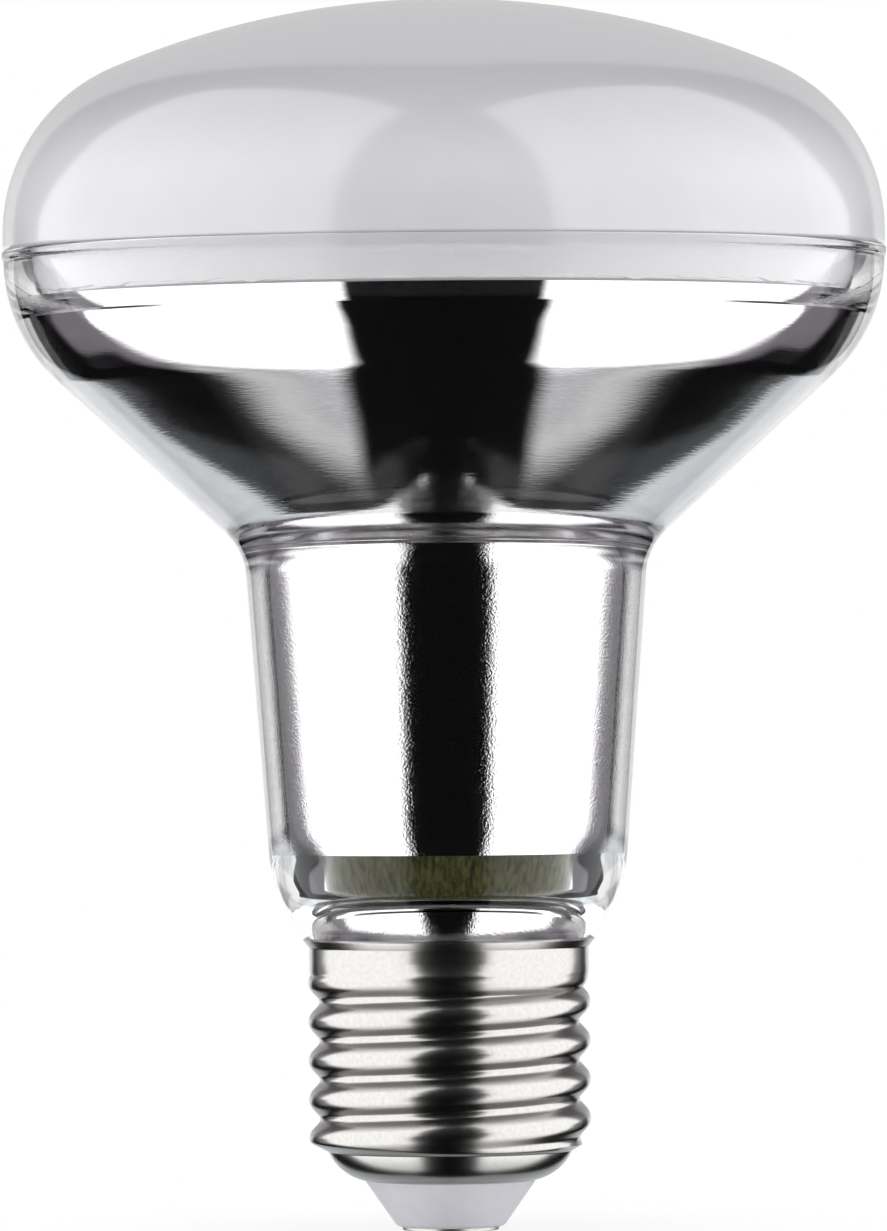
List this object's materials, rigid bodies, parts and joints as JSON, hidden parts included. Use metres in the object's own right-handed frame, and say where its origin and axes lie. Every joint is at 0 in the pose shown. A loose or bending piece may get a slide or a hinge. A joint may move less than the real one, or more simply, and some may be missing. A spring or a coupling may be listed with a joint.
{
  "type": "reflector bulb",
  "caption": "Mirrored reflector bulb: a frosted dome bonded into a thick clear-glass bowl and neck silvered inside, on a nickel screw cap with a white insulator.",
  "frame": {"origin": "middle of the centre contact's outer face, at the bulb's tip", "axes": "+Z along the bulb's axis from the contact to the dome; +X to the right in the picture, +Y away from the camera"},
  "size_m": [0.0822, 0.0822, 0.1143],
  "materials": {
    "frosted_dome": "frosted pale grey, smooth gloss outside",
    "bond_resin": "milky clear resin",
    "clear_glass": "clear pressed glass, faintly green",
    "mirror_silver": "vacuum-coated mirror",
    "fibre_ring": "olive glass-fibre laminate",
    "bare_aluminium": "pressed, bare",
    "board_white": "white solder resist",
    "led_resin": "yellow phosphor resin",
    "lead_sleeve": "white sleeve",
    "board_green": "green solder resist",
    "can_sleeve": "black sleeve",
    "ferrite": "sintered, dark grey",
    "copper_wire": "enamelled copper",
    "film_box": "moulded box",
    "moulded_black": "moulded epoxy",
    "resistor_coat": "dipped coat",
    "cement": "dry cement",
    "nickel_plate": "satin nickel plate",
    "white_insulator": "moulded, matt"
  },
  "bodies": {
    "root": {"front_dome": "frosted_dome", "bond_ring": "bond_resin", "reflector_glass": "clear_glass", "mirror_coat": "mirror_silver", "foot_coat": "mirror_silver", "insulating_ring": "fibre_ring", "heat_spreader": "bare_aluminium", "led_board": "board_white", "led_packages": "led_resin", "led_leads": "lead_sleeve", "driver_board": "board_green", "smoothing_capacitor": "can_sleeve", "choke_core": "ferrite", "choke_winding": "copper_wire", "film_capacitor": "film_box", "bridge_rectifier": "moulded_black", "control_chip": "moulded_black", "fuse_resistor": "resistor_coat", "live_lead": "lead_sleeve", "neutral_lead": "lead_sleeve", "neck_cement": "cement", "screw_shell": "nickel_plate", "cap_insulator": "white_insulator", "centre_contact": "nickel_plate"}
  },
  "joints": []
}
